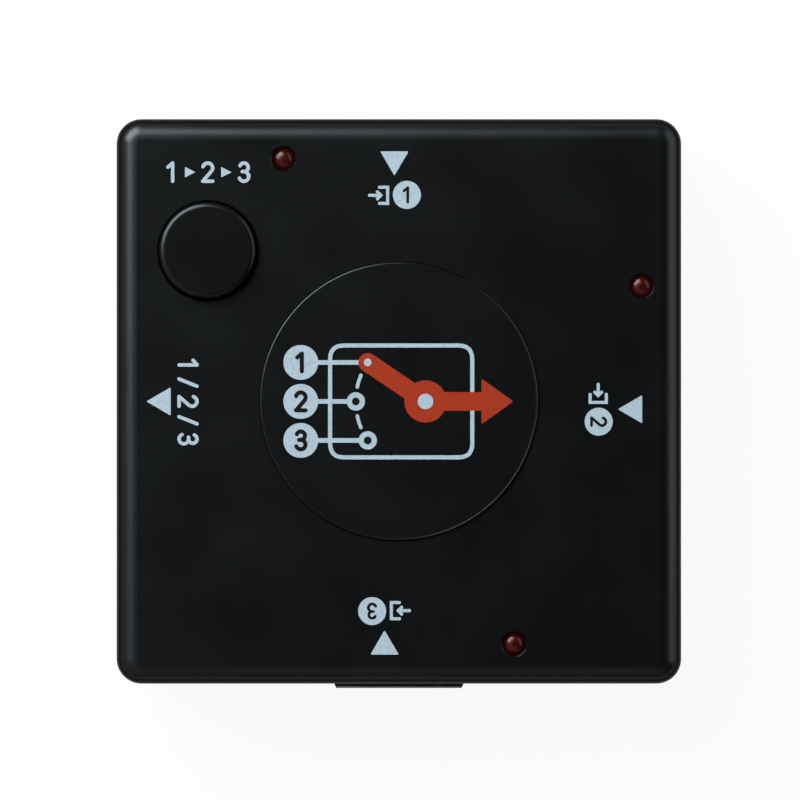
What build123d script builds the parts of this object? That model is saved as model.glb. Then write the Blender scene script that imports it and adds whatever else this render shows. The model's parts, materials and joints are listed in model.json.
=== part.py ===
from build123d import *
import os

# Three-in, one-out video switch box, in millimetres.
# The origin is the middle of the underside, +Z is up, +Y is the side of input 1.
# Pieces that repeat on the four sides are drawn once, on the +Y side, and turned about the Z axis.

os.makedirs("parts", exist_ok=True)

# Housing
side_length = 62.0
housing_height = 16.0
corner_radius = 2.75
top_edge_radius = 2.4
bottom_edge_bevel = 0.8
side_wall = 1.8
top_wall = 1.8
floor_wall = 1.8
plateau_share = 0.49
plateau_rise = 0.3
plateau_edge_bevel = 0.15

# Circuit board, carried on posts under the ceiling
head_room = 7.0
board_thickness = 1.6
board_gap = 0.4
post_inset = 5.6
leg_stick_out = 0.9

# Mouth of a video socket, wide side up
mouth_width = 14.0
mouth_height = 4.55
mouth_floor_width = 10.2
mouth_side_height = 2.6
mouth_top_radius = 0.4
shell_steel = 0.3
shell_length = 12.0
mouth_setback = 0.55
socket_shifts = {"input_1": 0, "input_2": 0, "input_3": mouth_setback, "output": 0}

# Button and its switch, in from the output's side and towards input 1
button_inset = 10.15
button_place_share = 0.53
button_size_share = 0.168
button_gap = 0.22
button_rise = 1.2
button_float = 0.1
press_travel = 0.3
switch_side = 6.0
switch_height = 5.0

# Lights, the first beside input 1
light_x = -12.6
light_inset = 4.5
light_radius = 1.5

# Clearances, and how far a cutting shape runs past what it cuts
port_clearance = 0.3
seam_gap = 0.1
screw_clearance = 0.2
leg_clearance = 0.2
cut_overrun = 0.5

floor_top = floor_wall
ceiling = housing_height - top_wall
board_top = ceiling - head_room
board_bottom = board_top - board_thickness
leg_bottom = board_bottom - leg_stick_out
half_side = side_length / 2
post_place = half_side - post_inset
plateau_radius = half_side * plateau_share
button_x = button_inset - half_side
button_y = half_side * button_place_share
button_radius = half_side * button_size_share
light_y = half_side - light_inset
mouth_axis = board_top + shell_steel + mouth_height / 2
mouth_front = half_side - mouth_setback
seam_height = mouth_axis

quarter_turn = 90
side_angles = {"input_1": 0, "input_2": -quarter_turn, "input_3": 2 * quarter_turn, "output": quarter_turn}
input_names = ["input_1", "input_2", "input_3"]


def turned(shape, side):
    """The shape drawn on the +Y side, turned to the named side."""
    return Rot(0, 0, side_angles[side]) * shape


def socket_turned(shape, side):
    """A piece of a socket drawn on the +Y side, at the named side's distance from the middle."""
    return turned(Pos(0, socket_shifts[side], 0) * shape, side)


def on_all_sides(shape):
    """Copies of a shape drawn on the +Y side, one for each of the four sides."""
    return [turned(shape, side) for side in side_angles]


def square_slab(inset, low, high):
    """A slab of the housing's plan, drawn in by the inset, between two heights."""
    width = side_length - 2 * inset
    plan = RectangleRounded(width, width, corner_radius - inset)
    return Pos(0, 0, low) * extrude(plan, high - low)


def block(x_range, y_range, z_range):
    """A box between pairs of X, Y and Z values."""
    middles = [(low + high) / 2 for low, high in (x_range, y_range, z_range)]
    sizes = [high - low for low, high in (x_range, y_range, z_range)]
    return Pos(*middles) * Box(*sizes)


def rod(radius, low, high, x=0, y=0):
    """An upright cylinder between two heights."""
    return Pos(x, y, (low + high) / 2) * Cylinder(radius, high - low)


def upright_profile(points, width, x=0):
    """A profile of (y, z) points carried along X, half the width to each side."""
    profile = Plane.YZ * Polygon(*points)
    return Pos(x - width / 2, 0, 0) * extrude(profile, width, dir=(1, 0, 0))


def corner_places():
    """The four places of the screws."""
    return [(sx * post_place, sy * post_place) for sx in (-1, 1) for sy in (-1, 1)]


# Screws and posts
screw_head_radius = 2.0
screw_head_height = 1.4
screw_head_sink = 0.6
screw_core_radius = 0.95
screw_bite = 3.4
pilot_clearance = 0.05
pilot_spare = 1.1
post_wall = 1.4
screw_seat = screw_head_sink + screw_head_height
screw_tip = board_top + screw_bite


def case_screws():
    """Four pan head screws with a cross recess, heads down in the underside."""
    head_bevel = 0.5
    cross_width = 0.5
    cross_length = 2.2
    cross_depth = 0.8
    head = rod(screw_head_radius, screw_head_sink, screw_seat)
    head = chamfer(head.edges().sort_by(Axis.Z)[0], head_bevel)
    core = rod(screw_core_radius, screw_seat, screw_tip)
    low = screw_head_sink - cut_overrun
    slot = block(
        (-cross_length / 2, cross_length / 2),
        (-cross_width / 2, cross_width / 2),
        (low, screw_head_sink + cross_depth),
    )
    screw = head + core - slot - Rot(0, 0, 90) * slot
    return [Pos(x, y, 0) * screw for x, y in corner_places()]


# Seam between the covers: a tongue on the lower cover stands inside the upper one
tongue_height = 1.2
tongue_thickness = 0.8
seam_bevel = 0.2


def port_cutter():
    """The hole round one socket, the same in both covers."""
    outline = grown(mouth_face(), shell_steel + port_clearance)
    return socket_extrusion(outline, -mouth_setback - cut_overrun, side_wall + cut_overrun)


def holding_ribs(low, high):
    """Two ribs above or below one socket that take the push of a plug."""
    rib_thickness = 1.2
    rib_length = 6.0
    rib_spacing = 8.0
    rib_inset = 5.6
    y_range = (half_side - rib_inset - rib_length, half_side - rib_inset)
    ribs = []
    for x in (-rib_spacing / 2, rib_spacing / 2):
        x_range = (x - rib_thickness / 2, x + rib_thickness / 2)
        ribs.append(block(x_range, y_range, (low, high)))
    return ribs


def light_cutter():
    """A narrow bevelled lip at the top surface and a wider bore for the lens below it."""
    lip_radius = 1.3
    lip_bevel = 0.12
    lip_thickness = 0.6
    bore_gap = 0.2
    lip_bottom = housing_height - lip_thickness
    lip = rod(lip_radius, lip_bottom, housing_height + cut_overrun, light_x, light_y)
    rim_place = Pos(light_x, light_y, housing_height - lip_bevel / 2)
    rim = rim_place * Cone(lip_radius, lip_radius + lip_bevel, lip_bevel)
    bore = rod(light_radius + bore_gap, ceiling - cut_overrun, lip_bottom, light_x, light_y)
    return lip + rim + bore


# Guide of the button under the top, and the flange that keeps it in
collar_wall = 1.2
collar_depth = 2.0
flange_thickness = 0.8
flange_overhang = 0.8
collar_bottom = ceiling - collar_depth
hole_radius = button_radius + button_gap


def top_cover():
    """Upper half of the housing, with the plateau, button guide, light holes and screw posts."""
    rib_gap = 0.1
    hole_bevel = 0.12
    body = square_slab(0, seam_height, housing_height)
    body = fillet(body.edges().group_by(Axis.Z)[-1], top_edge_radius)
    body = chamfer(body.edges().group_by(Axis.Z)[0], seam_bevel)
    body -= square_slab(side_wall, seam_height - cut_overrun, ceiling)
    rabbet_inset = side_wall - tongue_thickness - seam_gap
    body -= square_slab(rabbet_inset, seam_height - cut_overrun, seam_height + tongue_height + seam_gap)

    plateau = rod(plateau_radius, ceiling, housing_height + plateau_rise)
    plateau = chamfer(plateau.edges().sort_by(Axis.Z)[-1], plateau_edge_bevel)
    body += plateau

    body += rod(hole_radius + collar_wall, collar_bottom, ceiling + cut_overrun, button_x, button_y)
    body -= rod(hole_radius, collar_bottom - cut_overrun, housing_height + cut_overrun, button_x, button_y)
    rim = Pos(button_x, button_y, housing_height - hole_bevel / 2)
    body -= rim * Cone(hole_radius, hole_radius + hole_bevel, hole_bevel)

    shell_top = mouth_axis + mouth_height / 2 + shell_steel
    for rib in holding_ribs(shell_top + rib_gap, ceiling + cut_overrun):
        for copy in on_all_sides(rib):
            body += copy
    pilot_radius = screw_core_radius + pilot_clearance
    pilot_top = screw_tip + pilot_spare
    for x, y in corner_places():
        body += rod(pilot_radius + post_wall, board_top, ceiling + cut_overrun, x, y)
        body -= rod(pilot_radius, board_top - cut_overrun, pilot_top, x, y)
    for cutter in on_all_sides(port_cutter()):
        body -= cutter
    for side in input_names:
        body -= turned(light_cutter(), side)
    return body


def bottom_cover():
    """Lower half of the housing: a tray with the tongue, the board posts and the screw recesses."""
    recess_clearance = 0.3
    recess_wall = 0.9
    body = square_slab(0, 0, seam_height)
    body = chamfer(body.edges().group_by(Axis.Z)[0], bottom_edge_bevel)
    body = chamfer(body.edges().group_by(Axis.Z)[-1], seam_bevel)
    tongue_top = seam_height + tongue_height
    body += square_slab(side_wall - tongue_thickness, seam_height - cut_overrun, tongue_top)
    body -= square_slab(side_wall, floor_top, tongue_top + cut_overrun)
    for rib in holding_ribs(floor_top - cut_overrun, board_bottom):
        for copy in on_all_sides(rib):
            body += copy
    recess_radius = screw_head_radius + recess_clearance
    for x, y in corner_places():
        body += rod(recess_radius + recess_wall, floor_top - cut_overrun, board_bottom, x, y)
        body -= rod(recess_radius, -cut_overrun, screw_seat, x, y)
        body -= rod(screw_core_radius + screw_clearance, screw_seat, board_bottom + cut_overrun, x, y)
    for cutter in on_all_sides(port_cutter()):
        body -= cutter
    return body


def select_button():
    """Round hollow button with a domed edge, a flange under the guide and a stem over the switch."""
    cap_thickness = 1.4
    skirt_wall = 1.1
    stem_radius = 1.5
    web_thickness = 0.8
    web_depth = 1.6
    edge_radius = 0.55
    top = housing_height + button_rise
    flange_top = collar_bottom - button_float
    bottom = flange_top - flange_thickness
    inner_radius = button_radius - skirt_wall
    inner_top = top - cap_thickness
    cap = rod(button_radius, bottom, top)
    cap = fillet(cap.edges().sort_by(Axis.Z)[-1], edge_radius)
    cap += rod(hole_radius + flange_overhang, bottom, flange_top)
    cap -= rod(inner_radius, bottom - cut_overrun, inner_top)
    cap += rod(stem_radius, board_top + switch_height, top - cap_thickness / 2)
    web = block(
        (-inner_radius - skirt_wall / 2, inner_radius + skirt_wall / 2),
        (-web_thickness / 2, web_thickness / 2),
        (inner_top - web_depth, inner_top),
    )
    cap += web
    cap += Rot(0, 0, 90) * web
    return Pos(button_x, button_y, 0) * cap


# Push switch
switch_plate = 0.3
switch_cavity_radius = 2.4
switch_cavity_depth = 1.1
switch_leg_width = 0.7
switch_leg_thickness = 0.3
switch_leg_spacing = 4.5
switch_body_height = 3.5
plunger_radius = 1.7
dome_radius = 2.2
dome_rest = 0.15
dome_rise = press_travel + dome_rest
dome_gap = 0.05
switch_base_top = board_top + switch_body_height - switch_plate
switch_cavity_floor = switch_base_top - switch_cavity_depth


def at_switch(shape):
    """A shape drawn about the Z axis, moved to the switch."""
    return Pos(button_x, button_y, 0) * shape


def switch_base():
    """Moulded base with the round well of the snap dome."""
    half = switch_side / 2
    body = block((-half, half), (-half, half), (board_top, switch_base_top))
    body -= rod(switch_cavity_radius, switch_cavity_floor, switch_base_top + cut_overrun)
    return at_switch(body)


def switch_cover():
    """Folded steel plate over the base, with the hole for the plunger."""
    hole_gap = 0.1
    tab_width = 2.4
    tab_length = 1.9
    half = switch_side / 2
    top = board_top + switch_body_height
    plate = block((-half, half), (-half - switch_plate, half + switch_plate), (switch_base_top, top))
    for y in (-half - switch_plate, half):
        tab_range = (switch_base_top - tab_length, top)
        plate += block((-tab_width / 2, tab_width / 2), (y, y + switch_plate), tab_range)
    plate -= rod(plunger_radius + hole_gap, switch_base_top - cut_overrun, top + cut_overrun)
    return at_switch(plate)


def switch_plunger():
    """Plunger between the snap dome and the button's stem."""
    foot_radius = 2.2
    foot_height = 0.5
    bottom = switch_cavity_floor + dome_rise + dome_gap
    plunger = rod(plunger_radius, bottom, board_top + switch_height)
    plunger += rod(foot_radius, bottom, bottom + foot_height)
    return at_switch(plunger)


def switch_dome():
    """Thin snap dome: a shallow cone with a flat crown, turned from its profile."""
    dome_steel = 0.1
    crown_radius = 0.9
    floor = switch_cavity_floor
    crown = floor + dome_rise
    profile = Polygon(
        (0, crown - dome_steel),
        (crown_radius, crown - dome_steel),
        (dome_radius - dome_steel, floor),
        (dome_radius, floor),
        (crown_radius, crown),
        (0, crown),
    )
    return at_switch(revolve(Plane.XZ * profile, Axis.Z))


def switch_leg_places():
    """Centres of the four legs, flat against the sides of the base."""
    x = switch_side / 2 + switch_leg_thickness / 2
    y = switch_leg_spacing / 2
    return [(sx * x, sy * y) for sx in (-1, 1) for sy in (-1, 1)]


def switch_legs():
    """Four flat legs from the base down through the board."""
    leg_rise = 1.4
    half_thickness = switch_leg_thickness / 2
    half_width = switch_leg_width / 2
    legs = []
    for x, y in switch_leg_places():
        leg = block(
            (x - half_thickness, x + half_thickness),
            (y - half_width, y + half_width),
            (leg_bottom, board_top + leg_rise),
        )
        legs.append(at_switch(leg))
    return legs


# Lights
light_leg_side = 0.5
light_leg_spacing = 2.54
light_flange_radius = 1.9
light_flange_height = 1.0
light_length = 5.3


def light_lens():
    """Domed lens with its foot flange, which has one flat side."""
    bottom = housing_height - light_length
    dome_centre = housing_height - light_radius
    lens = rod(light_radius, bottom, dome_centre) + Pos(0, 0, dome_centre) * Sphere(light_radius)
    flange = rod(light_flange_radius, bottom, bottom + light_flange_height)
    reach = light_flange_radius + cut_overrun
    flange -= block((-reach, -light_radius), (-reach, reach), (bottom - cut_overrun, dome_centre))
    return Pos(light_x, light_y, 0) * (lens + flange)


def light_leg_places():
    """Centres of the two legs of the light beside input 1."""
    return [(light_x + sx * light_leg_spacing / 2, light_y) for sx in (-1, 1)]


def light_legs():
    """Two square legs from the lens down through the board."""
    half = light_leg_side / 2
    legs = []
    for x, y in light_leg_places():
        z_range = (leg_bottom, housing_height - light_length)
        legs.append(block((x - half, x + half), (y - half, y + half), z_range))
    return legs


# Video sockets
def mouth_face():
    """Outline of the mouth about the socket's axis: a wide upper part and a floor drawn in by bevels."""
    half_width = mouth_width / 2
    half_height = mouth_height / 2
    half_floor = mouth_floor_width / 2
    knee = half_height - mouth_side_height
    face = Polygon(
        (-half_width, half_height),
        (half_width, half_height),
        (half_width, knee),
        (half_floor, -half_height),
        (-half_floor, -half_height),
        (-half_width, knee),
    )
    return fillet(face.vertices().group_by(Axis.Y)[-1], mouth_top_radius)


def grown(face, margin):
    """The face with its outline moved out by the margin, its corners kept sharp."""
    return offset(face, margin, kind=Kind.INTERSECTION)


def socket_extrusion(face, start, end):
    """A face about the socket's axis, carried inwards between two depths behind the mouth."""
    plane = Plane((0, mouth_front - start, mouth_axis), x_dir=(1, 0, 0), z_dir=(0, -1, 0))
    return extrude(plane * face, end - start, dir=(0, -1, 0))


# Insulator and contacts inside the shell
shelf_thickness = 2.7
shelf_gap = 0.05
shelf_front = shell_length - shell_steel - shelf_thickness
blade_width = 10.9
blade_thickness = 1.0
blade_raise = 0.25
blade_tip = 1.7
contact_pitch = 1.0
contact_width = 0.3
contact_steel = 0.2
contact_start = 2.4
contact_tail = 1.0
upper_count = 10
lower_count = 9
foot_opening = 0.6
floor_opening_width = 9.9


def shell_lip(width, lip_reach):
    """A flared lip, drawn with its root at the origin: outwards along +Y and rising along +Z."""
    lip_rise_share = 0.58
    lip_taper_share = 0.56
    lip_rise = lip_reach * lip_rise_share
    lip_taper = lip_reach * lip_taper_share
    points = [
        (-shell_steel, 0),
        (0, 0),
        (lip_reach, lip_rise),
        (lip_reach, lip_rise + shell_steel),
        (0, shell_steel),
        (-shell_steel, shell_steel),
    ]
    plate = upright_profile(points, width)
    half = width / 2
    plan = Polygon(
        (-half, -shell_steel), (half, -shell_steel), (half, 0), (half - lip_taper, lip_reach),
        (lip_taper - half, lip_reach), (-half, 0),
    )
    return plate & extrude(plan, lip_rise + shell_steel)


def spring_finger():
    """A spring finger bent into the mouth, drawn as the lips are, with its root towards the mouth."""
    finger_width = 1.3
    finger_start = 2.0
    finger_bend = 5.2
    finger_tip = 5.9
    finger_dip = 0.35
    finger_lift = 0.2
    points = [
        (-finger_start, 0),
        (-finger_start, shell_steel),
        (-finger_bend, shell_steel - finger_dip),
        (-finger_tip, shell_steel - finger_dip + finger_lift),
        (-finger_tip, finger_lift - finger_dip),
        (-finger_bend, -finger_dip),
    ]
    return upright_profile(points, finger_width)


def finger_window():
    """The hole in the shell that a spring finger is cut from."""
    window_width = 2.1
    window_start = 2.3
    window_end = 6.4
    half = window_width / 2
    return block((-half, half), (-window_end, -window_start), (-cut_overrun, shell_steel + cut_overrun))


def shell_leg_places():
    """Centres of the four board legs of a shell, in the plane of its sides."""
    front_leg_depth = 4.6
    rear_leg_inset = 2.2
    x = (mouth_width + shell_steel) / 2
    depths = (front_leg_depth, shell_length - rear_leg_inset)
    return [(sx * x, mouth_front - depth) for sx in (-1, 1) for depth in depths]


shell_leg_width = 1.0


def socket_shell():
    """Stamped steel shell with flared lips, spring fingers, board legs and a folded rear wall."""
    finger_spacing = 6.0
    top_lip_width = 14.4
    floor_lip_width = 9.4
    side_lip_width = 2.2
    lip_reach = 0.55
    side_lip_reach = 0.12
    half_width = mouth_width / 2
    half_height = mouth_height / 2
    inside = mouth_face()
    shell = socket_extrusion(grown(inside, shell_steel), 0, shell_length)
    shell -= socket_extrusion(inside, -cut_overrun, shell_length - shell_steel)
    for turn, rise, width in ((0, half_height, top_lip_width), (180, -half_height, floor_lip_width)):
        place = Pos(0, mouth_front, mouth_axis + rise) * Rot(0, turn, 0)
        shell += place * shell_lip(width, lip_reach)
        for x in (-finger_spacing / 2, finger_spacing / 2):
            finger_place = Pos(x, mouth_front, mouth_axis + rise) * Rot(0, turn, 0)
            shell -= finger_place * finger_window()
            shell += finger_place * spring_finger()
    side_middle = mouth_axis + half_height - mouth_side_height / 2
    for turn, x in ((90, half_width), (-90, -half_width)):
        place = Pos(x, mouth_front, side_middle) * Rot(0, turn, 0)
        shell += place * shell_lip(side_lip_width, side_lip_reach)
    for x, y in shell_leg_places():
        x_range = (x - shell_steel / 2, x + shell_steel / 2)
        y_range = (y - shell_leg_width / 2, y + shell_leg_width / 2)
        shell += block(x_range, y_range, (leg_bottom, side_middle))
    rear = mouth_front - shell_length
    half_opening = floor_opening_width / 2
    x_range = (-half_opening, half_opening)
    under = board_top - cut_overrun
    shell -= block(x_range, (rear - cut_overrun, mouth_front - shelf_front), (under, board_top + shell_steel))
    shell -= block(x_range, (rear - cut_overrun, rear + shell_steel), (under, board_top + foot_opening))
    return shell


def contact_profile(is_upper):
    """Side view of a contact: a strip on the blade, a column down through the shelf and a tail on the board."""
    column_margin = 0.7
    face_height = mouth_axis + blade_raise
    shelf_rear = shell_length - shell_steel
    tail_end = mouth_front - shell_length - contact_tail
    start = mouth_front - contact_start
    if is_upper:
        column = mouth_front - (shelf_rear - column_margin)
        high = face_height + blade_thickness / 2
        low = high - contact_steel
    else:
        column = mouth_front - (shelf_front + column_margin)
        low = face_height - blade_thickness / 2
        high = low + contact_steel
    return [
        (start, low),
        (start, high),
        (column, high),
        (column, board_top + contact_steel),
        (tail_end, board_top + contact_steel),
        (tail_end, board_top),
        (column + contact_steel, board_top),
        (column + contact_steel, low),
    ]


def contact_row(is_upper):
    """The upper or the lower row of equal contacts."""
    count = upper_count if is_upper else lower_count
    places = [(i - (count - 1) / 2) * contact_pitch for i in range(count)]
    return [upright_profile(contact_profile(is_upper), contact_width, x) for x in places]


def contact_slot(is_upper):
    """The recess in the blade and shelf in which a row of contacts lies side by side."""
    count = upper_count if is_upper else lower_count
    return upright_profile(contact_profile(is_upper), (count - 1) * contact_pitch + contact_width)


def socket_insulator():
    """Moulded shelf that fills the rear of the shell, with the blade that carries the contacts."""
    tip_bevel = 0.3
    shelf_rear = shell_length - shell_steel - shelf_gap
    shelf = socket_extrusion(grown(mouth_face(), -shelf_gap), shelf_front, shelf_rear)
    half_foot = floor_opening_width / 2 - shelf_gap
    rear = mouth_front - shelf_rear
    front = mouth_front - shelf_front - shelf_gap
    shelf += block((-half_foot, half_foot), (rear, front), (board_top, mouth_axis))
    half_blade = blade_width / 2
    middle = mouth_axis + blade_raise
    y_range = (front, mouth_front - blade_tip)
    z_range = (middle - blade_thickness / 2, middle + blade_thickness / 2)
    blade = block((-half_blade, half_blade), y_range, z_range)
    blade = chamfer(blade.faces().sort_by(Axis.Y)[-1].edges().filter_by(Axis.X), tip_bevel)
    return shelf + blade - contact_slot(True) - contact_slot(False)


# Parts on the board
def flat_lead(inner, outer, shoulder, width, thickness, along):
    """A bent lead on the +Y side of a package: down from the shoulder height and out on the board."""
    knee = (inner + outer) / 2
    high = board_top + shoulder
    points = [
        (inner, high - thickness / 2),
        (inner, high + thickness / 2),
        (knee, board_top + thickness),
        (outer, board_top + thickness),
        (outer, board_top),
        (knee - thickness, board_top),
    ]
    return upright_profile(points, width, along)


def lead_row(count, pitch, inner, outer, shoulder, width, thickness):
    """A row of equal leads on the +Y side, centred on X = 0."""
    places = [(i - (count - 1) / 2) * pitch for i in range(count)]
    return [flat_lead(inner, outer, shoulder, width, thickness, place) for place in places]


main_chip_side = 10.0
main_chip_height = 1.2
main_chip_lift = 0.1


def main_chip():
    """Square switching chip in the middle of the board."""
    edge_bevel = 0.2
    half = main_chip_side / 2
    body = block((-half, half), (-half, half), (board_top + main_chip_lift, board_top + main_chip_height))
    return chamfer(body.edges().group_by(Axis.Z)[-1], edge_bevel)


def main_chip_legs():
    """Eleven leads on each of the chip's four sides."""
    lead_count = 11
    lead_pitch = 0.8
    lead_width = 0.35
    lead_steel = 0.15
    lead_reach = 1.0
    half = main_chip_side / 2
    shoulder = (main_chip_lift + main_chip_height) / 2
    row = lead_row(lead_count, lead_pitch, half, half + lead_reach, shoulder, lead_width, lead_steel)
    return [copy for lead in row for copy in on_all_sides(lead)]


control_chip_share = 0.597
control_chip_x = half_side * control_chip_share
control_chip_y = -control_chip_x
control_chip_length = 4.9
control_chip_width = 3.9
control_chip_height = 1.6
control_chip_lift = 0.1


def control_chip():
    """Small chip that reads the button and drives the lights."""
    half_length = control_chip_length / 2
    half_width = control_chip_width / 2
    z_range = (board_top + control_chip_lift, board_top + control_chip_height)
    body = block((-half_length, half_length), (-half_width, half_width), z_range)
    return Pos(control_chip_x, control_chip_y, 0) * body


def control_chip_legs():
    """Four leads along each long side."""
    lead_count = 4
    lead_pitch = 1.27
    lead_width = 0.42
    lead_steel = 0.2
    lead_reach = 1.05
    inner = control_chip_width / 2
    shoulder = (control_chip_lift + control_chip_height) / 2
    row = lead_row(lead_count, lead_pitch, inner, inner + lead_reach, shoulder, lead_width, lead_steel)
    place = Pos(control_chip_x, control_chip_y, 0)
    return [place * Rot(0, 0, turn) * lead for lead in row for turn in (0, 180)]


regulator_shares = (0.63, 0.565)
regulator_x = half_side * regulator_shares[0]
regulator_y = half_side * regulator_shares[1]
regulator_length = 6.5
regulator_width = 3.5
regulator_height = 1.6
regulator_lift = 0.1


def voltage_regulator():
    """Power regulator with three leads and a cooling tab."""
    half_length = regulator_length / 2
    half_width = regulator_width / 2
    z_range = (board_top + regulator_lift, board_top + regulator_height)
    body = block((-half_length, half_length), (-half_width, half_width), z_range)
    return Pos(regulator_x, regulator_y, 0) * body


def regulator_legs():
    """Three narrow leads on one side of the regulator and the wide tab on the other."""
    lead_count = 3
    lead_pitch = 2.3
    lead_width = 0.7
    cooling_tab_width = 3.1
    lead_steel = 0.25
    lead_reach = 1.75
    inner = regulator_width / 2
    outer = inner + lead_reach
    shoulder = (regulator_lift + regulator_height) / 2
    row = lead_row(lead_count, lead_pitch, inner, outer, shoulder, lead_width, lead_steel)
    tab = flat_lead(inner, outer, shoulder, cooling_tab_width, lead_steel, 0)
    place = Pos(regulator_x, regulator_y, 0)
    return [place * Rot(0, 0, 180) * lead for lead in row] + [place * tab]


diode_shares = (0.335, 0.361)
diode_x = half_side * diode_shares[0]
diode_y = half_side * diode_shares[1]
diode_length = 4.3
diode_width = 2.6
diode_height = 2.2
diode_steel = 0.2


def power_diodes():
    """One diode behind each input, which takes the switch's power from that input."""
    half_length = diode_length / 2
    half_width = diode_width / 2
    z_range = (board_top + diode_steel, board_top + diode_height)
    body = block((-half_length, half_length), (-half_width, half_width), z_range)
    return [turned(Pos(diode_x, diode_y, 0) * body, side) for side in input_names]


def diode_tabs():
    """Folded end tabs of the diodes, under the body and up its ends."""
    tab_width = 1.5
    tab_rise = 1.1
    tab_tuck = 1.2
    half_length = diode_length / 2
    points = [
        (half_length - tab_tuck, board_top),
        (half_length + diode_steel, board_top),
        (half_length + diode_steel, board_top + tab_rise),
        (half_length, board_top + tab_rise),
        (half_length, board_top + diode_steel),
        (half_length - tab_tuck, board_top + diode_steel),
    ]
    tab = upright_profile(points, tab_width)
    place = Pos(diode_x, diode_y, 0)
    ends = [place * Rot(0, 0, turn) * tab for turn in (-quarter_turn, quarter_turn)]
    return [turned(end, side) for end in ends for side in input_names]


can_shares = [(0.438, 0.748), (-0.445, -0.722)]
can_places = [(half_side * across, half_side * along) for across, along in can_shares]
can_radius = 2.5
can_height = 5.4
can_base_side = 5.3
can_base_height = 0.5
can_foot_width = 0.8
can_foot_steel = 0.15


def electrolytic_cans():
    """Two upright capacitor cans, each standing on its base."""
    edge_bevel = 0.3
    can = rod(can_radius, board_top + can_foot_steel + can_base_height, board_top + can_height)
    can = chamfer(can.edges().sort_by(Axis.Z)[-1], edge_bevel)
    return [Pos(x, y, 0) * can for x, y in can_places]


def electrolytic_bases():
    """Square moulded bases with two corners cut off."""
    corner_cut = 1.0
    half = can_base_side / 2
    low = board_top + can_foot_steel
    base = block((-half, half), (-half, half), (low, low + can_base_height))
    base = chamfer(base.edges().filter_by(Axis.Z).group_by(Axis.X)[-1], corner_cut)
    return [Pos(x, y, 0) * base for x, y in can_places]


def electrolytic_feet():
    """Two flat feet under each base, out past its ends."""
    foot_reach = 0.6
    foot_length = 2.2
    half_width = can_foot_width / 2
    outer = can_base_side / 2 + foot_reach
    z_range = (board_top, board_top + can_foot_steel)
    foot = block((outer - foot_length, outer), (-half_width, half_width), z_range)
    return [Pos(x, y, 0) * Rot(0, 0, turn) * foot for x, y in can_places for turn in (0, 180)]


crystal_shares = (-0.652, -0.497)
crystal_x = half_side * crystal_shares[0]
crystal_y = half_side * crystal_shares[1]
crystal_length = 10.8
crystal_width = 4.4
crystal_height = 3.4
crystal_foot_steel = 0.15


def timing_crystal():
    """Low oval can on a thin flanged base."""
    flange_height = 0.4
    flange_overhang = 0.35
    edge_bevel = 0.3
    can = extrude(SlotOverall(crystal_length, crystal_width), crystal_height)
    can = chamfer(can.edges().group_by(Axis.Z)[-1], edge_bevel)
    flange_plan = SlotOverall(crystal_length + 2 * flange_overhang, crystal_width + 2 * flange_overhang)
    can += extrude(flange_plan, flange_height)
    return Pos(crystal_x, crystal_y, board_top + crystal_foot_steel) * can


def crystal_feet():
    """Two flat feet under the crystal, out past its ends."""
    foot_width = 0.8
    foot_length = 3.4
    foot_reach = 0.9
    outer = crystal_length / 2 + foot_reach
    half_width = foot_width / 2
    z_range = (board_top, board_top + crystal_foot_steel)
    foot = block((outer - foot_length, outer), (-half_width, half_width), z_range)
    return [Pos(crystal_x, crystal_y, 0) * Rot(0, 0, turn) * foot for turn in (0, 180)]


# Small ceramic chips in rows on the four sides of the main chip
capacitor_length = 1.6
capacitor_width = 0.8
capacitor_height = 0.8
capacitor_row = 8.4
capacitor_count = 3
capacitor_pitch = 2.6
resistor_length = 1.0
resistor_width = 0.5
resistor_height = 0.35
resistor_gap = 1.9
resistor_row = mouth_front - shell_length - contact_tail - resistor_gap - resistor_length / 2
resistor_count = 4
resistor_pitch = 2.0
end_cap_share = 0.22


def chip_row(length, width, height, row, count, pitch):
    """Bodies and end caps of a row of chip parts on the +Y side, their length pointing outwards."""
    cap = length * end_cap_share
    inner = row - length / 2
    outer = row + length / 2
    z_range = (board_top, board_top + height)
    bodies = []
    caps = []
    for i in range(count):
        x = (i - (count - 1) / 2) * pitch
        x_range = (x - width / 2, x + width / 2)
        bodies.append(block(x_range, (inner + cap, outer - cap), z_range))
        caps.append(block(x_range, (inner, inner + cap), z_range))
        caps.append(block(x_range, (outer - cap, outer), z_range))
    return bodies, caps


def all_sides_of(shapes):
    """Copies of a list of shapes on the four sides."""
    return [copy for shape in shapes for copy in on_all_sides(shape)]


def leg_hole(place, thickness, width):
    """A plated slot through the board round a flat leg, thick along X and wide along Y."""
    x, y = place
    half_x = thickness / 2 + leg_clearance
    half_y = width / 2 + leg_clearance
    z_range = (board_bottom - cut_overrun, board_top + cut_overrun)
    return block((x - half_x, x + half_x), (y - half_y, y + half_y), z_range)


def board_cutters():
    """Holes for the screws and for every leg that goes through the board."""
    low = board_bottom - cut_overrun
    high = board_top + cut_overrun
    cutters = [rod(screw_core_radius + screw_clearance, low, high, x, y) for x, y in corner_places()]
    for place in shell_leg_places():
        hole = leg_hole(place, shell_steel, shell_leg_width)
        cutters += [socket_turned(hole, side) for side in side_angles]
    for place in light_leg_places():
        cutters += [turned(leg_hole(place, light_leg_side, light_leg_side), side) for side in input_names]
    for place in switch_leg_places():
        cutters.append(at_switch(leg_hole(place, switch_leg_thickness, switch_leg_width)))
    return cutters


def circuit_board():
    """Square board just inside the walls, drilled for all that it carries."""
    board = square_slab(side_wall + board_gap, board_bottom, board_top)
    for cutter in board_cutters():
        board -= cutter
    return board


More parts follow.
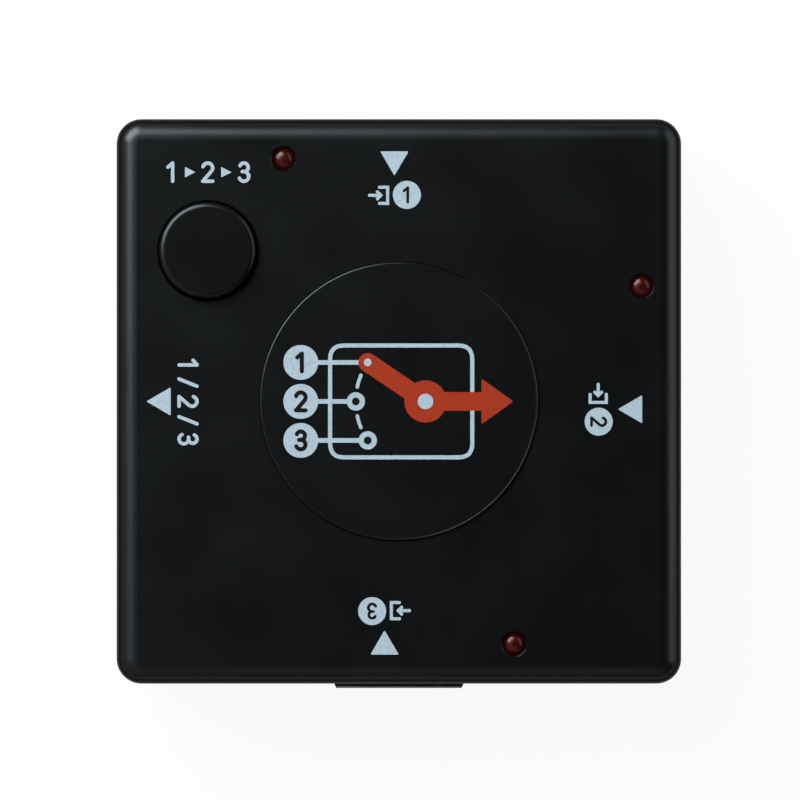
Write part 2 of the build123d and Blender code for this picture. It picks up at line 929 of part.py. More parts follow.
def save(name, shapes):
    """Writes one node, which may be a group of separate solids."""
    shapes = shapes if isinstance(shapes, list) else [shapes]
    solids = [solid for shape in shapes for solid in shape.solids()]
    node = solids[0] if len(solids) == 1 else Compound(children=solids)
    node.label = name
    export_step(node, f"parts/{name}.step")
    print(name, len(solids), "solids")


save("top_cover", top_cover())
save("bottom_cover", bottom_cover())
save("case_screws", case_screws())
save("circuit_board", circuit_board())
save("select_button", select_button())
save("switch_base", switch_base())
save("switch_cover", switch_cover())
save("switch_plunger", switch_plunger())
save("switch_dome", switch_dome())
save("switch_legs", switch_legs())

contacts = contact_row(True) + contact_row(False)
shell_piece = socket_shell()
insulator_piece = socket_insulator()
for side in side_angles:
    save(f"{side}_shell", socket_turned(shell_piece, side))
    save(f"{side}_insulator", socket_turned(insulator_piece, side))
    save(f"{side}_contacts", [socket_turned(strip, side) for strip in contacts])
for number, side in enumerate(input_names, start=1):
    save(f"light_{number}", turned(light_lens(), side))
    save(f"light_{number}_legs", [turned(leg, side) for leg in light_legs()])

save("main_chip", main_chip())
save("main_chip_legs", main_chip_legs())
save("control_chip", control_chip())
save("control_chip_legs", control_chip_legs())
save("voltage_regulator", voltage_regulator())
save("regulator_legs", regulator_legs())
save("power_diodes", power_diodes())
save("diode_tabs", diode_tabs())
save("electrolytic_cans", electrolytic_cans())
save("electrolytic_bases", electrolytic_bases())
save("electrolytic_feet", electrolytic_feet())
save("timing_crystal", timing_crystal())
save("crystal_feet", crystal_feet())

capacitors, capacitor_caps = chip_row(
    capacitor_length, capacitor_width, capacitor_height, capacitor_row, capacitor_count, capacitor_pitch
)
resistors, resistor_caps = chip_row(
    resistor_length, resistor_width, resistor_height, resistor_row, resistor_count, resistor_pitch
)
save("chip_capacitors", all_sides_of(capacitors))
save("chip_resistors", all_sides_of(resistors))
save("chip_end_caps", all_sides_of(capacitor_caps + resistor_caps))
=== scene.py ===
# %% [markdown]
# # A small video switch box
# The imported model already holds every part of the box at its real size. This lesson dresses it:
# moulded plastic, plated steel, printed marks, and the fine threads, solder and copper that the
# solids leave out. Everything is in metres, with the underside at the origin, +Z up and input 1
# on the +Y side.

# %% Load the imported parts
import json
import math

import bpy
import numpy as np
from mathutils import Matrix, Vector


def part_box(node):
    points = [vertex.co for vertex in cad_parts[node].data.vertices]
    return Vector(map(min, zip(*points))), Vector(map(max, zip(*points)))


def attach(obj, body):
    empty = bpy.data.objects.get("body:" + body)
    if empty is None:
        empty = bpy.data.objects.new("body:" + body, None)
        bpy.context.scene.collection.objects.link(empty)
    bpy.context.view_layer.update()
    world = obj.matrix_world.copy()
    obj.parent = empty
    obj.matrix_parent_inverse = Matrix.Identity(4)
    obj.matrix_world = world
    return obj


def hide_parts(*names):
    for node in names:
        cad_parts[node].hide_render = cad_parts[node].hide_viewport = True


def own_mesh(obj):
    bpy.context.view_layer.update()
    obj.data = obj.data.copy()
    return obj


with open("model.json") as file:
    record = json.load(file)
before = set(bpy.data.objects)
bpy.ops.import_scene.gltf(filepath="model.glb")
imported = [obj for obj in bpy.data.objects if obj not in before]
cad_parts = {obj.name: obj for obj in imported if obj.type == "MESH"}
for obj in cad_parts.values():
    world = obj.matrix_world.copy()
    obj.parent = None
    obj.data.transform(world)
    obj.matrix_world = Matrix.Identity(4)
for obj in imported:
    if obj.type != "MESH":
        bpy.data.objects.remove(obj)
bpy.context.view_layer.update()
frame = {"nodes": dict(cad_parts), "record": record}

MM = 0.001


def in_mm(lengths, digits=2):
    """Lengths in metres as rounded millimetres."""
    return np.round(np.array(lengths) / MM, digits).tolist()


def put_in_scene(name, data):
    """A new object with this data, which stands in the scene."""
    thing = bpy.data.objects.new(name, data)
    bpy.context.scene.collection.objects.link(thing)
    return thing


# %% [markdown]
# ## Camera
# The portrait looks straight down on the top with a long lens, from so far away that only the
# flared lip of input 3, which stands out furthest, shows past the rim. The camera stands a hair
# beside the middle, because the box isn't quite centred in the picture.

# %% Camera
camera_height = 380 * MM
camera_aside = (0.12 * MM, 0.155 * MM)
sensor_width = 36.0
lens_length = 150.1
nearest_seen = 10 * MM
farthest_seen = 20.0

camera_data = bpy.data.cameras.new("portrait_camera")
camera_data.sensor_width = sensor_width
camera_data.lens = lens_length
camera_data.clip_start = nearest_seen
camera_data.clip_end = farthest_seen
camera = put_in_scene("portrait_camera", camera_data)
camera.location = (*camera_aside, camera_height)
bpy.context.scene.camera = camera
bpy.context.scene.view_settings.view_transform = "Standard"
field_of_view = math.degrees(2 * math.atan(sensor_width / 2 / lens_length))
print("field of view:", round(field_of_view, 2), "degrees")

# %% [markdown]
# ## Light
# Black plastic shows its shape by what it mirrors, so the lamps are large and soft. The main one
# is a softbox beyond the upper left corner: it makes the bright spot on the corner, the arcs on
# the button and the plateau, and the window-like patch on each light. Wide white boards on the
# left, behind and on the right send a little of it back, and these draw the even grey bands along
# three edges. The board on the near side sends back hardly anything, so that edge stays black,
# and the world is a very dim grey, so that the flat top is nearly black too.

# %% Lamps
def softbox(name, turn, tilt, size, radiance, distance=0.8):
    """A rectangular lamp on a sphere round the box: turn is its compass angle from +X towards +Y,
    and tilt its angle from straight up, both in degrees. It faces the middle of the box, with its
    long side level. A square lamp of power P and area A has the radiance P / (pi A), which is
    what a mirror would show."""
    around, down = math.radians(turn), math.radians(tilt)
    data = bpy.data.lights.new(name, "AREA")
    data.shape = "RECTANGLE"
    data.size, data.size_y = size
    data.energy = radiance * math.pi * size[0] * size[1]
    lamp = put_in_scene(name, data)
    aside, height = distance * math.sin(down), distance * math.cos(down)
    lamp.location = (aside * math.cos(around), aside * math.sin(around), height)
    lamp.rotation_euler = (down, 0, around + math.pi / 2)


softbox("main_softbox", turn=133, tilt=56, size=(0.66, 0.42), radiance=6.8, distance=0.7)
softbox("left_board", turn=200, tilt=47, size=(0.9, 0.85), radiance=0.28)
softbox("back_board", turn=136, tilt=46, size=(0.9, 0.7), radiance=1.42)
softbox("right_board", turn=20, tilt=66, size=(0.9, 0.6), radiance=1.13)
softbox("near_board", turn=270, tilt=48, size=(0.9, 0.6), radiance=0.26)

world_grey = (0.016, 0.017, 0.018, 1)
world = bpy.data.worlds.new("studio_air")
world.use_nodes = True
world.node_tree.nodes["Background"].inputs["Color"].default_value = world_grey
bpy.context.scene.world = world

# %% [markdown]
# ## Floor
# The background is a plain white sheet. A real sheet under this light would come out pale grey,
# so its material adds its own white for the camera and for mirrored rays, and keeps a part of
# plain matt paper that still takes the shadow of the box. Like every material here it is built of
# nodes, which three small helpers make and connect.

# %% Floor
floor_reach = 3.0
floor_drop = 0.02 * MM
paper_share = 0.065
paper_colour = (0.9, 0.9, 0.9, 1)


def plug(tree, node, inputs):
    """Sets inputs of a node: the output of another node is linked, and a value is written in."""
    for key, value in inputs.items():
        if isinstance(value, bpy.types.NodeSocket):
            tree.links.new(value, node.inputs[key])
        else:
            node.inputs[key].default_value = value


def added(tree, kind, inputs):
    """A new node of a kind, with its inputs set."""
    node = tree.nodes.new(f"ShaderNode{kind}")
    plug(tree, node, inputs)
    return node


def combined(tree, operation, *values):
    """The result of a math node. Each value is the output of a node or a plain number."""
    node = added(tree, "Math", dict(enumerate(values)))
    node.operation = operation
    return node.outputs[0]


def white_sheet():
    """A matt paper shader mixed with an even white that only seen and mirrored rays pick up."""
    sheet = bpy.data.materials.new("white_sheet")
    sheet.use_nodes = True
    tree = sheet.node_tree
    tree.nodes.remove(tree.nodes["Principled BSDF"])
    rays = added(tree, "LightPath", {}).outputs
    mirrored = combined(tree, "MAXIMUM", rays["Is Glossy Ray"], rays["Is Transmission Ray"])
    seen = combined(tree, "MAXIMUM", rays["Is Camera Ray"], mirrored)
    share = combined(tree, "MULTIPLY", seen, 1 - paper_share)
    paper = added(tree, "BsdfDiffuse", {"Color": paper_colour}).outputs[0]
    white = added(tree, "Emission", {}).outputs[0]
    mixed = added(tree, "MixShader", {0: share, 1: paper, 2: white}).outputs[0]
    plug(tree, tree.nodes["Material Output"], {"Surface": mixed})
    return sheet


corners = np.array([(-1, -1, 0), (1, -1, 0), (1, 1, 0), (-1, 1, 0)]) * floor_reach
corners[:, 2] = -floor_drop
floor_mesh = bpy.data.meshes.new("floor")
floor_mesh.from_pydata(corners.tolist(), [], [(0, 1, 2, 3)])
floor_mesh.materials.append(white_sheet())
floor = put_in_scene("floor", floor_mesh)
print("floor:", 2 * floor_reach, "m square")

# %% [markdown]
# ## How a finish is built here
# Every finish starts from the same bench: one surface shader, and patterns worked out from Object
# coordinates. The parts sit at the origin unscaled, so a pattern size given in millimetres is a
# real size. A pattern node is set by the width of one of its grains, and a small bump node turns
# it into relief of a stated depth.

# %% Helpers for finishes
grain_hides_from = 0.23
grain_hides_to = 0.44


def bench(name):
    """A new material: returns it with its tree of nodes and its surface shader."""
    material = bpy.data.materials.new(name)
    material.use_nodes = True
    return material, material.node_tree, material.node_tree.nodes["Principled BSDF"]


def object_space(tree, centre=(0, 0, 0), stretch=(1, 1, 1)):
    """Object coordinates, moved so that the centre is zero and then stretched along each axis."""
    shift = [-c * s for c, s in zip(centre, stretch)]
    where = added(tree, "TexCoord", {}).outputs["Object"]
    mapping = added(tree, "Mapping", {"Vector": where, "Location": shift, "Scale": stretch})
    return mapping.outputs["Vector"]


def cloud(tree, where, grain, detail=2.0):
    """A soft random pattern with spots about one grain wide."""
    noise = added(tree, "TexNoise", {"Vector": where, "Scale": 1 / grain, "Detail": detail})
    return noise.outputs["Fac"]


def spread(tree, source, low, high, start=0.3, end=0.7):
    """Carries a pattern's values between start and end over to values between low and high. A
    cloud keeps mostly to the values from 0.3 to 0.7."""
    limits = {"From Min": start, "From Max": end, "To Min": low, "To Max": high}
    return added(tree, "MapRange", {"Value": source, **limits}).outputs["Result"]


def shades(tree, source, dark, light, start=0.35, end=0.65):
    """A colour that goes from dark to light as the pattern's value goes from start to end."""
    ramp = added(tree, "ValToRGB", {"Fac": source})
    for stop, place, colour in zip(ramp.color_ramp.elements, (start, end), (dark, light)):
        stop.position = place
        stop.color = (*colour, 1)
    return ramp.outputs["Color"]


def relief(tree, surface, source, depth):
    """Bumps on the surface: the pattern's whole range stands for the stated depth."""
    bump = added(tree, "Bump", {"Height": source, "Strength": 1.0, "Distance": depth})
    plug(tree, surface, {"Normal": bump.outputs["Normal"]})


def fading_shine(tree, surface, full_index, flat_index):
    """Shine of a matt grain: the index of refraction falls from full to flat as the eye's ray gets
    flatter. The full one also stands on the socket itself, for viewers that drop the link."""
    facing = added(tree, "LayerWeight", {}).outputs["Facing"]
    faded = spread(tree, facing, full_index, flat_index, grain_hides_from, grain_hides_to)
    plug(tree, surface, {"IOR": full_index})
    plug(tree, surface, {"IOR": faded})


def scaled(colour, factor):
    """The colour made lighter or darker by a factor."""
    return tuple(min(1.0, part * factor) for part in colour)


finishes = {}
print("helpers ready")

# %% [markdown]
# ## Moulded black plastic
# The mould of such a housing is spark eroded, which leaves a fine pebble grain, a few thousandths
# of a millimetre deep. It scatters the lamps into soft bands instead of sharp mirror images. The
# gloss also wanders a little over centimetres, where the melt cooled unevenly and fingers have
# rubbed. Seen at a flat angle the grains hide each other's shine, so the index of refraction is
# let down there. The shine itself is a little blue. The button comes from another mould: it is a
# touch smoother and greyer, and shines a little less.

# %% Moulded plastic
plastic_patch = 9 * MM
patch_dark, patch_light = 0.9, 1.12
blue_shine = (0.83, 0.93, 1.0, 1)
housing_black = (0.0008, 0.0011, 0.0013)
button_black = (0.0013, 0.0016, 0.0019)


def moulded_plastic(name, colour, rough, grain, depth, full_index, flat_index):
    """Plastic from a textured mould: nearly even colour, roughness that wanders between two
    values, a pebble grain, and a shine that the grain hides at flat angles."""
    material, tree, surface = bench(name)
    where = object_space(tree)
    patches = cloud(tree, where, plastic_patch, detail=3.0)
    dark, light = scaled(colour, patch_dark), scaled(colour, patch_light)
    plug(tree, surface, {
        "Base Color": shades(tree, patches, dark, light),
        "Roughness": spread(tree, patches, *rough),
        "Specular Tint": blue_shine,
    })
    relief(tree, surface, cloud(tree, where, grain, detail=1.0), depth)
    fading_shine(tree, surface, full_index, flat_index)
    return material


finishes["housing_plastic"] = moulded_plastic(
    "housing_plastic", housing_black, rough=(0.30, 0.35), grain=0.16 * MM, depth=0.003 * MM,
    full_index=1.53, flat_index=1.08,
)
finishes["button_plastic"] = moulded_plastic(
    "button_plastic", button_black, rough=(0.29, 0.33), grain=0.13 * MM, depth=0.002 * MM,
    full_index=1.46, flat_index=1.1,
)
print("plastics:", list(finishes))

# %% [markdown]
# ## Resin of the lights
# The lights are unlit, so their resin is a deep red. Light and shade are painted into that colour:
# a painted shade makes it darker towards the rim, and a painted light makes it warmer in the
# middle, where the small reflector cup inside would send some light back. An emission paints a
# glow for the trace of light that has spread inside the resin, which is why its rim isn't quite
# black, though the lens is no lamp. The dome is cast smooth and mirrors the softbox as a sharp
# patch. Each lens gets its own copy, because the pattern is centred on it.

# %% Lens resin
lens_radius = 1.5 * MM
# Painted light and shade on the resin: a lit middle, a shaded rim, and a glow from no lamp.
resin_painted_lit_middle = (0.034, 0.004, 0.0032)
resin_painted_shade_rim = (0.012, 0.0006, 0.001)
painted_lit_share = 0.55
resin_haze = 0.9 * MM
resin_rough = (0.15, 0.21)
resin_painted_glow = (0.009, 0.0003, 0.0007, 1)
resin_index = 1.39


def plan_middle(node):
    """The middle of a node's box as seen from above, as a point at the height zero."""
    low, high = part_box(node)
    return np.array(((low.x + high.x) / 2, (low.y + high.y) / 2, 0))


def lens_resin_painted_light(name, centre):
    """Deep red resin with light and shade painted in: the painted lit colour of the middle stays
    over its share of the radius, and goes from there to the painted shade of the rim, by the
    distance from the lens's own axis. The emission is a painted glow."""
    material, tree, surface = bench(name)
    flat = object_space(tree, centre, stretch=(1 / lens_radius, 1 / lens_radius, 0))
    length = added(tree, "VectorMath", {0: flat})
    length.operation = "LENGTH"
    away = length.outputs["Value"]
    haze = cloud(tree, object_space(tree), resin_haze)
    # The base colour carries a painted light in the middle and a painted shade at the rim, and the
    # emission a painted glow.
    plug(tree, surface, {
        "Base Color": shades(tree, away, resin_painted_lit_middle, resin_painted_shade_rim, start=painted_lit_share, end=1.0),
        "Roughness": spread(tree, haze, *resin_rough),
        "Emission Color": resin_painted_glow,
        "Emission Strength": 1.0,
        "IOR": resin_index,
    })
    return material


lights = ("light_1", "light_2", "light_3")
lens_finishes = {
    light: lens_resin_painted_light(light.replace("light", "lens_red"), plan_middle(light)) for light in lights
}
print("lens finishes:", list(lens_finishes))

# %% [markdown]
# ## Metals
# The socket shells are stamped from nickel plated strip: the rolling leaves faint streaks, and
# the plating is a dull warm grey. Tinned legs are paler with a soft crystal pattern, the contacts
# are thinly gold plated, the capacitor cans are drawn aluminium, and the screws are blackened and
# rub bright on their edges. All are the same recipe with other sizes: streaks or grains for the
# gloss, wider stains for the colour, and a shallow relief.

# %% Metals
stain_width = 2.5 * MM
metal_smoother, metal_rougher = 0.06, 0.08
metals = {
    "shell_steel": dict(
        colour=(0.40, 0.375, 0.345), rough=0.46, grain=0.07 * MM, depth=0.0015 * MM,
        stretch=(1, 1, 0.15),
    ),
    "tinned_steel": dict(
        colour=(0.62, 0.61, 0.59), rough=0.38, grain=0.25 * MM, depth=0.002 * MM
    ),
    "contact_gold": dict(
        colour=(0.80, 0.56, 0.20), rough=0.24, grain=0.12 * MM, depth=0.001 * MM
    ),
    "can_aluminium": dict(
        colour=(0.72, 0.73, 0.74), rough=0.3, grain=0.05 * MM, depth=0.001 * MM,
        stretch=(1, 1, 0.08),
    ),
    "screw_steel": dict(
        colour=(0.075, 0.074, 0.078), rough=0.42, grain=0.18 * MM, depth=0.003 * MM,
        contrast=0.3,
    ),
}


def plated_metal(name, colour, rough, grain, depth, stretch=(1, 1, 1), contrast=0.12):
    """Metal with a pattern of grains that the stretch draws out into streaks. The grains turn the
    roughness a little down or up, and the stains the colour by the contrast."""
    material, tree, surface = bench(name)
    grains = cloud(tree, object_space(tree, stretch=stretch), grain, detail=4.0)
    stains = cloud(tree, object_space(tree), stain_width, detail=3.0)
    dark, light = scaled(colour, 1 - contrast), scaled(colour, 1 + contrast)
    plug(tree, surface, {
        "Base Color": shades(tree, stains, dark, light),
        "Roughness": spread(tree, grains, rough - metal_smoother, rough + metal_rougher),
        "Metallic": 1.0,
    })
    relief(tree, surface, grains, depth)
    return material


for name, recipe in metals.items():
    finishes[name] = plated_metal(name, **recipe)
print("metals done, finishes so far:", len(finishes))

# %% [markdown]
# ## Insulators, chips and ceramic
# Black resins filled with glass or silica look dusty: their colour is speckled and their gloss
# low. The ceramic of the small capacitors is the same recipe in tan.

# %% Filled resins
specks_from, specks_to = 0.5, 0.8
resin_smoother, resin_rougher = 0.05, 0.1
filled_resins = {
    "insulator_plastic": dict(
        colour=(0.011, 0.011, 0.012), speck_colour=(0.03, 0.03, 0.032),
        rough=0.5, grain=0.12 * MM, depth=0.003 * MM,
    ),
    "chip_resin": dict(
        colour=(0.016, 0.016, 0.018), speck_colour=(0.05, 0.05, 0.052),
        rough=0.6, grain=0.08 * MM, depth=0.004 * MM,
    ),
    "capacitor_ceramic": dict(
        colour=(0.40, 0.27, 0.15), speck_colour=(0.52, 0.38, 0.24),
        rough=0.45, grain=0.1 * MM, depth=0.001 * MM,
    ),
}


def filled_resin(name, colour, speck_colour, rough, grain, depth):
    """Resin or ceramic with fine specks of its filler in it."""
    material, tree, surface = bench(name)
    specks = cloud(tree, object_space(tree), grain, detail=6.0)
    plug(tree, surface, {
        "Base Color": shades(tree, specks, colour, speck_colour, specks_from, specks_to),
        "Roughness": spread(tree, specks, rough - resin_smoother, rough + resin_rougher),
    })
    relief(tree, surface, specks, depth)
    return material


for name, recipe in filled_resins.items():
    finishes[name] = filled_resin(name, **recipe)
print("filled resins done, finishes so far:", len(finishes))

# %% [markdown]
# ## Circuit board
# The board is woven glass cloth under a green lacquer. The cloth shows through as a faint square
# weave, which is the product of two waves at right angles.

# %% Board lacquer
weave_thread = 0.45 * MM
weave_wander = 0.6
weave_depth = 0.006 * MM
waves_in_scale = 20
lacquer_dark = (0.010, 0.075, 0.028)
lacquer_light = (0.018, 0.125, 0.048)
lacquer_full = 0.9
lacquer_pool = 4 * MM
lacquer_rough = (0.22, 0.34)


def board_lacquer():
    """Green lacquer over a weave: two crossed waves, a thread apart, give the relief. A wave node
    at the scale 1 has 20 radians to the unit, so its scale is 2 pi / (20 thread)."""
    material, tree, surface = bench("board_laminate")
    where = object_space(tree)
    threads = {
        "Vector": where,
        "Scale": 2 * math.pi / (waves_in_scale * weave_thread),
        "Distortion": weave_wander,
    }
    waves = []
    for direction in ("X", "Y"):
        wave = added(tree, "TexWave", threads)
        wave.bands_direction = direction
        waves.append(wave.outputs["Fac"])
    weave = combined(tree, "MULTIPLY", *waves)
    pools = cloud(tree, where, lacquer_pool)
    plug(tree, surface, {
        "Base Color": shades(tree, weave, lacquer_dark, lacquer_light, 0.0, lacquer_full),
        "Roughness": spread(tree, pools, *lacquer_rough),
    })
    relief(tree, surface, weave, weave_depth)
    return material


finishes["board_laminate"] = board_lacquer()
print("board lacquer done")

# %% [markdown]
# ## Inks
# The marks are pad printed. A silicone pad lays down a film a few hundredths of a millimetre
# thick, matt, with tiny pinholes and a slightly uneven cover that lets the black through. Its
# shine fades at flat angles like that of the plastic.

# %% Inks
ink_spot = 0.35 * MM
ink_thin, ink_full = 0.3, 0.55
ink_rough_thin, ink_rough_full = 0.6, 0.45
pinhole = 0.08 * MM
pinhole_depth = 0.002 * MM
ink_flat_index = 1.08
pale_blue_white = (0.437, 0.567, 0.651)
red_orange = (0.382, 0.0295, 0.004)


def printed_ink(name, colour, cover, full_index=1.4):
    """Ink film: the colour thins a little towards the cover share in random spots, and the thin
    spots are rougher."""
    material, tree, surface = bench(name)
    where = object_space(tree)
    film = cloud(tree, where, ink_spot, detail=5.0)
    plug(tree, surface, {
        "Base Color": shades(tree, film, scaled(colour, cover), colour, ink_thin, ink_full),
        "Roughness": spread(tree, film, ink_rough_thin, ink_rough_full),
    })
    relief(tree, surface, cloud(tree, where, pinhole), pinhole_depth)
    fading_shine(tree, surface, full_index, ink_flat_index)
    return material


finishes["ink_pale"] = printed_ink("ink_pale", pale_blue_white, cover=0.86)
finishes["ink_orange"] = printed_ink("ink_orange", red_orange, cover=0.88)
finishes["ink_black"] = printed_ink("ink_black", housing_black, cover=0.9, full_index=1.34)
print("inks done, finishes:", len(finishes))

# %% [markdown]
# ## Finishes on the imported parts
# The record names a material slot for each part, so a loop can hand out the finishes. Only the
# lenses get their own copies.

# %% Hand out the finishes
for row in frame["record"]["subparts"]:
    part = frame["nodes"][row["node"]]
    finish = lens_finishes.get(row["node"]) or finishes[row["material_slot"]]
    for slot in part.material_slots:
        slot.material = finish

# %% [markdown]
# ## Drawing with ink
# A printed mark is a flat shape, so each one is an outline in the plane, worked out as arrays. A
# stroke is an outline that runs down one side of a path and back up the other, with a half circle
# round each end, and a triangle or disc is an outline by itself. The helpers below return
# outlines in millimetres, and one of them turns and moves them into place.

# %% Outlines
arc_steps = 24
corner_steps = 7


def arc(centre, radius, start, end, steps=arc_steps):
    """Points at an even angle apart on a circle: centre + radius times (cos a, sin a), for a from
    start to end, in degrees."""
    angles = np.radians(np.linspace(start, end, steps))
    return np.array(centre) + radius * np.column_stack((np.cos(angles), np.sin(angles)))


def disc(centre, radius):
    """A full circle, without its doubled last point."""
    return arc(centre, radius, 0, 360, 2 * arc_steps + 1)[:-1]


def side_steps(path):
    """At each point of a path, the step to its left side for a width of one: the mean of the two
    neighbouring normals, made longer at a bend so that the stroke keeps its width there."""
    along = np.diff(path, axis=0)
    along = along / np.linalg.norm(along, axis=1, keepdims=True)
    normals = np.column_stack((-along[:, 1], along[:, 0]))
    before = np.vstack((normals[:1], normals))
    after = np.vstack((normals, normals[-1:]))
    both = before + after
    return both / (1 + np.sum(before * after, axis=1, keepdims=True)), along


def stroke(path, width, round_ends=True):
    """The outline of a stroke: left side of the path, half circle, right side backwards, half
    circle."""
    path = np.asarray(path, float)
    steps, along = side_steps(path)
    left = path + steps * width / 2
    right = (path - steps * width / 2)[::-1]
    if not round_ends:
        return np.vstack((left, right))
    last = math.degrees(math.atan2(along[-1, 1], along[-1, 0]))
    first = math.degrees(math.atan2(along[0, 1], along[0, 0]))
    end_cap = arc(path[-1], width / 2, last + 90, last - 90)[1:-1]
    start_cap = arc(path[0], width / 2, first - 90, first - 270)[1:-1]
    return np.vstack((left, end_cap, right, start_cap))


def rounded(points, radius):
    """A polygon with its corners rounded: at each corner, a quadratic curve between the points a
    radius away on the two sides, B(t) = (1-t)^2 a + 2 t (1-t) corner + t^2 b."""
    points = np.asarray(points, float)
    sides = [np.roll(points, shift, axis=0) - points for shift in (1, -1)]
    a, b = (points + radius * s / np.linalg.norm(s, axis=1, keepdims=True) for s in sides)
    t = np.linspace(0, 1, corner_steps)[None, :, None]
    curve = (1 - t) ** 2 * a[:, None] + 2 * t * (1 - t) * points[:, None] + t**2 * b[:, None]
    return curve.reshape(-1, 2)


def placed(outlines, place, turn=0.0):
    """The outlines turned about zero by an angle in degrees, anticlockwise, and then moved to the
    place."""
    c, s = math.cos(math.radians(turn)), math.sin(math.radians(turn))
    return [outline @ np.array(((c, s), (-s, c))) + np.array(place) for outline in outlines]


print("a disc has", len(disc((0, 0), 1)), "points")

# %% [markdown]
# Each digit is drawn as a sign painter would, in two strokes of even width with round ends. Its
# sizes are shares of its reach, which is its height without the width of the stroke.

# %% Digits
def digit(number, height, width):
    """Strokes of the digit 1, 2 or 3, centred on zero, with the given height and stroke width.
    A 1 is a flag and a stem, a 2 a bow and a foot, and a 3 two bows that meet at the waist."""
    reach = height - width
    top, bottom = reach / 2, -reach / 2
    if number == 1:
        stem_x, flag_width, flag_foot = 0.06 * reach, 0.26 * reach, 0.28 * reach
        flag = stroke([(stem_x - flag_width, flag_foot), (stem_x, top)], width)
        return [flag, stroke([(stem_x, top), (stem_x, bottom)], width)]
    if number == 2:
        radius, bow_start, bow_end = 0.27 * reach, 165, -38
        bow = arc((0, top - radius), radius, bow_start, bow_end)
        foot = (-radius, bottom)
        return [
            stroke(np.vstack((bow, foot)), width), stroke([foot, (radius, bottom)], width)
        ]
    upper, lower, waist_x, bow_start = 0.235 * reach, 0.265 * reach, -0.09 * reach, 158
    waist = (waist_x, top - 2 * upper)
    top_bow = np.vstack((arc((0, top - upper), upper, bow_start, -90), waist))
    low_bow = np.vstack((waist, arc((0, bottom + lower), lower, 90, -bow_start)))
    return [stroke(top_bow, width), stroke(low_bow, width)]


def number_row(height, width, pitch, between):
    """The digits 1, 2 and 3 in a row about zero, a pitch apart, and one outline between each two
    of them."""
    row = []
    for index, number in enumerate((1, 2, 3), start=-1):
        row += placed(digit(number, height, width), (index * pitch, 0))
    for x in (-pitch / 2, pitch / 2):
        row += placed([between], (x, 0))
    return row


print("strokes of the digits:", [len(digit(number, 2.0, 0.4)) for number in (1, 2, 3)])

# %% [markdown]
# A mark lies on the housing as a film. It is made of one face for each outline, a hair higher for
# each next one so that no two faces share a plane, and a Solidify modifier makes the film a
# closed body. A second layer, such as a black digit on a pale disc, lies half a film higher.

# %% Laying the film
film_thickness = 0.02 * MM
film_above = 0.75
stroke_step = 0.0006 * MM
second_layer = film_thickness / 2
plateau_rise = 0.3 * MM
plateau_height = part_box("top_cover")[1].z
top_height = plateau_height - plateau_rise


def body_piece(name, points, faces, slot, finish=None, smooth_faces=None, body="housing"):
    """A piece on a body, from points in metres. The first so many of its faces, or else all, are
    shaded as one curve."""
    mesh = bpy.data.meshes.new(name)
    mesh.from_pydata(np.asarray(points).tolist(), [], faces)
    count = len(faces) if smooth_faces is None else smooth_faces
    mesh.polygons.foreach_set("use_smooth", np.arange(len(faces)) < count)
    mesh.materials.append(finish or finishes[slot])
    piece = put_in_scene(name, mesh)
    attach(piece, body)
    return piece


def facing_up(outline):
    """The outline in the order that makes its face look up, which is anticlockwise: there, the
    sum of x_i y_(i+1) - y_i x_(i+1) is above zero."""
    x, y = outline.T
    anticlockwise = np.sum(x * np.roll(y, -1) - y * np.roll(x, -1)) > 0
    return outline if anticlockwise else outline[::-1]


def print_film(name, outlines, surface_height, slot, ink=None, lift=0.0):
    """Makes one piece of the outlines, in millimetres, as a thin film on a level surface of the
    housing. Three quarters of its thickness stand above the surface."""
    outlines = [facing_up(np.asarray(outline) * MM) for outline in outlines]
    top = surface_height + film_thickness * film_above + lift
    heights = [np.full(len(o), top + i * stroke_step) for i, o in enumerate(outlines)]
    points = np.column_stack((np.vstack(outlines), np.concatenate(heights)))
    starts = np.cumsum([0] + [len(o) for o in outlines])
    faces = [list(range(a, b)) for a, b in zip(starts[:-1], starts[1:])]
    piece = body_piece(name, points, faces, slot, ink, smooth_faces=0)
    film = piece.modifiers.new("film", "SOLIDIFY")
    film.thickness = film_thickness
    film.offset = -1


black_over_pale = ("housing_plastic", finishes["ink_black"], second_layer)
print("top surface and plateau in mm:", in_mm((top_height, plateau_height)))

# %% [markdown]
# ## Marks beside the sockets
# Beside each input stands a triangle that points into the box, a disc with the input's number,
# and a small sign for an input: an arrow that goes into an open frame. They are drawn as for
# input 1, each with its own small offset, and turned to their side. The output has a triangle
# that points out of the box and, along the socket, the numbers of the inputs that it can show.

# %% Input marks
triangle_width = 3.1
triangle_height = 2.66
triangle_corner = 0.16
disc_radius = 1.53
disc_digit_height = 1.86
disc_digit_stroke = 0.3
disc_aside = 1.36
disc_behind = 2.09
sign_aside = -1.62
sign_behind = 2.14
sign_height = 2.1
sign_stroke = 0.34
shaft_tail, shaft_head, barb_tip, barb_share = -1.25, 0.1, 0.15, 0.42
apex_places = {"input_1": (-0.49, 24.63), "input_2": (0.85, 23.89), "input_3": (1.56, 24.97)}
turns = {"input_1": 0, "input_2": -90, "input_3": 180, "output": 90}


def on_side(outlines, side):
    """Outlines drawn for input 1, turned to the side of another socket."""
    return placed(outlines, (0, 0), turns[side])


def triangle(apex, inward=1):
    """A triangle with its point at the apex. The point looks towards -Y, which is into the box,
    or with inward = -1 towards +Y."""
    x, y = apex
    half, height = inward * triangle_width / 2, inward * triangle_height
    return rounded([(x, y), (x + half, y + height), (x - half, y + height)], triangle_corner)


def input_sign(place):
    """An arrow to the right that ends inside a frame open on its left. The places along the arrow
    are shares of half the frame's height."""
    half = (sign_height - sign_stroke) / 2
    tip, barb = barb_tip * half, barb_share * half
    open_frame = [(0, half), (half, half), (half, -half), (0, -half)]
    shaft = [(shaft_tail * half, 0), (shaft_head * half, 0)]
    head = [(tip - barb, barb), (tip, 0), (tip - barb, -barb)]
    return placed([stroke(path, sign_stroke) for path in (open_frame, shaft, head)], place)


